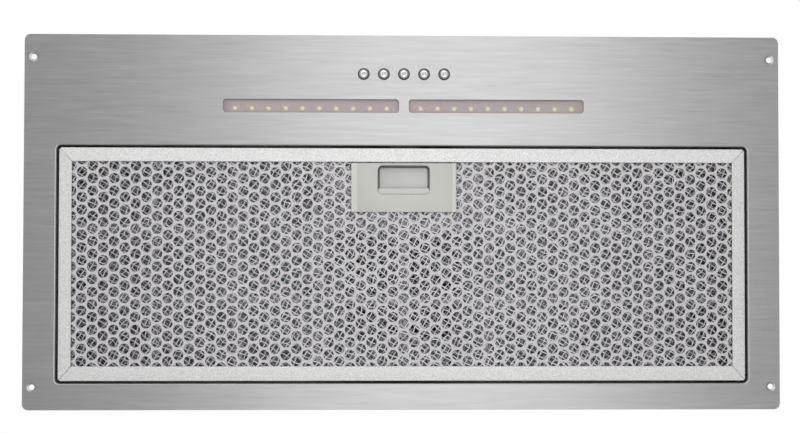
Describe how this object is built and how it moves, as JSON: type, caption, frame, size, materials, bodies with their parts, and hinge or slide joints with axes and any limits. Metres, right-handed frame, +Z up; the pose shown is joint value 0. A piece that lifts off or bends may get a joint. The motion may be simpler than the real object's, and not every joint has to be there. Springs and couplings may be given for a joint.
{
  "type": "range hood insert",
  "caption": "Built-in range hood insert: flat face plate with push buttons, light strips and a latched mesh filter, under a boxed blower with a round duct collar and non-return flaps.",
  "frame": {"origin": "centre of the fixing holes, on the upper face of the face plate, where it meets the cabinet", "axes": "+X to the user's right, -Y to the front edge with the buttons, +Z up into the cabinet and along the duct"},
  "size_m": [0.75, 0.3712, 0.2521],
  "materials": {
    "brushed_stainless": "satin",
    "filter_frame": "satin",
    "bright_steel": "satin",
    "galvanised_steel": "matte",
    "perforated_aluminium": "satin",
    "aluminium_mesh": "satin",
    "extruded_aluminium": "matte",
    "flap_aluminium": "satin",
    "chrome": "polished",
    "handle_plastic": "satin",
    "latch_plastic": "satin",
    "frosted_diffuser": "matte",
    "lamp_board": "matte",
    "black_plastic": "matte",
    "scroll_plastic": "matte",
    "wheel_plastic": "satin",
    "white_plastic": "matte",
    "circuit_board": "gloss",
    "motor_paint": "satin",
    "soft_rubber": "matte"
  },
  "bodies": {
    "hood": {"cable_gland": "black_plastic", "capacitor": "black_plastic", "collar_gasket": "soft_rubber", "collar_screws": "bright_steel", "control_board": "circuit_board", "control_box": "white_plastic", "control_lid": "white_plastic", "damper_pins": "bright_steel", "duct_collar": "galvanised_steel", "face_plate": "brushed_stainless", "gland_nut": "black_plastic", "housing_back_wall": "galvanised_steel", "housing_front_wall": "galvanised_steel", "housing_left_wall": "galvanised_steel", "housing_right_wall": "galvanised_steel", "led_driver": "white_plastic", "led_strip_left": "lamp_board", "led_strip_right": "lamp_board", "light_holder_left": "extruded_aluminium", "light_holder_right": "extruded_aluminium", "light_lens_left": "frosted_diffuser", "light_lens_right": "frosted_diffuser", "motor": "motor_paint", "motor_bracket": "galvanised_steel", "motor_grommets": "soft_rubber", "motor_screws": "bright_steel", "partition_wall": "galvanised_steel", "scroll_body": "scroll_plastic", "scroll_cover_left": "scroll_plastic", "scroll_cover_right": "scroll_plastic", "switch_block": "black_plastic", "switch_bracket": "galvanised_steel", "top_panel": "galvanised_steel", "top_screws": "bright_steel"},
    "filter": {"filter_bar_front": "filter_frame", "filter_bar_back": "filter_frame", "filter_bar_left": "filter_frame", "filter_bar_right": "filter_frame", "perforated_sheet": "perforated_aluminium", "mesh_pack": "aluminium_mesh", "rear_grid": "perforated_aluminium", "handle_bezel": "handle_plastic", "latch_cover": "filter_frame", "filter_pivots": "bright_steel"},
    "latch": {"latch_slider": "latch_plastic"},
    "fan_wheel": {"impeller": "wheel_plastic", "motor_shaft": "bright_steel"},
    "flap_front": {"damper_flap_front": "flap_aluminium"},
    "flap_back": {"damper_flap_back": "flap_aluminium"},
    "button_1": {"button_1": "chrome"},
    "button_2": {"button_2": "chrome"},
    "button_3": {"button_3": "chrome"},
    "button_4": {"button_4": "chrome"},
    "button_5": {"button_5": "chrome"}
  },
  "joints": [
    {"name": "button_1_press", "type": "slide", "parent": "hood", "child": "button_1", "axis": [0, 0, 1], "range_m": [0, 0.0025], "stiffness_N_per_m": 400, "springref_m": -0.002},
    {"name": "button_2_press", "type": "slide", "parent": "hood", "child": "button_2", "axis": [0, 0, 1], "range_m": [0, 0.0025], "stiffness_N_per_m": 400, "springref_m": -0.002},
    {"name": "button_3_press", "type": "slide", "parent": "hood", "child": "button_3", "axis": [0, 0, 1], "range_m": [0, 0.0025], "stiffness_N_per_m": 400, "springref_m": -0.002},
    {"name": "button_4_press", "type": "slide", "parent": "hood", "child": "button_4", "axis": [0, 0, 1], "range_m": [0, 0.0025], "stiffness_N_per_m": 400, "springref_m": -0.002},
    {"name": "button_5_press", "type": "slide", "parent": "hood", "child": "button_5", "axis": [0, 0, 1], "range_m": [0, 0.0025], "stiffness_N_per_m": 400, "springref_m": -0.002},
    {"name": "fan_spin", "type": "hinge", "parent": "hood", "child": "fan_wheel", "pos_m": [0, 0.016, 0.112], "axis": [1, 0, 0], "continuous": true},
    {"name": "flap_front_lift", "type": "hinge", "parent": "hood", "child": "flap_front", "pos_m": [0, 0.073, 0.2153], "axis": [-1, 0, 0], "range_deg": [0, 78]},
    {"name": "flap_back_lift", "type": "hinge", "parent": "hood", "child": "flap_back", "pos_m": [0, 0.083, 0.2153], "axis": [1, 0, 0], "range_deg": [0, 78]},
    {"name": "filter_swing", "type": "hinge", "parent": "hood", "child": "filter", "pos_m": [0, 0.1497, 0.0035], "axis": [1, 0, 0], "range_deg": [0, 70]},
    {"name": "latch_draw", "type": "slide", "parent": "filter", "child": "latch", "axis": [0, 1, 0], "range_m": [0, 0.007], "stiffness_N_per_m": 300, "springref_m": -0.003}
  ]
}
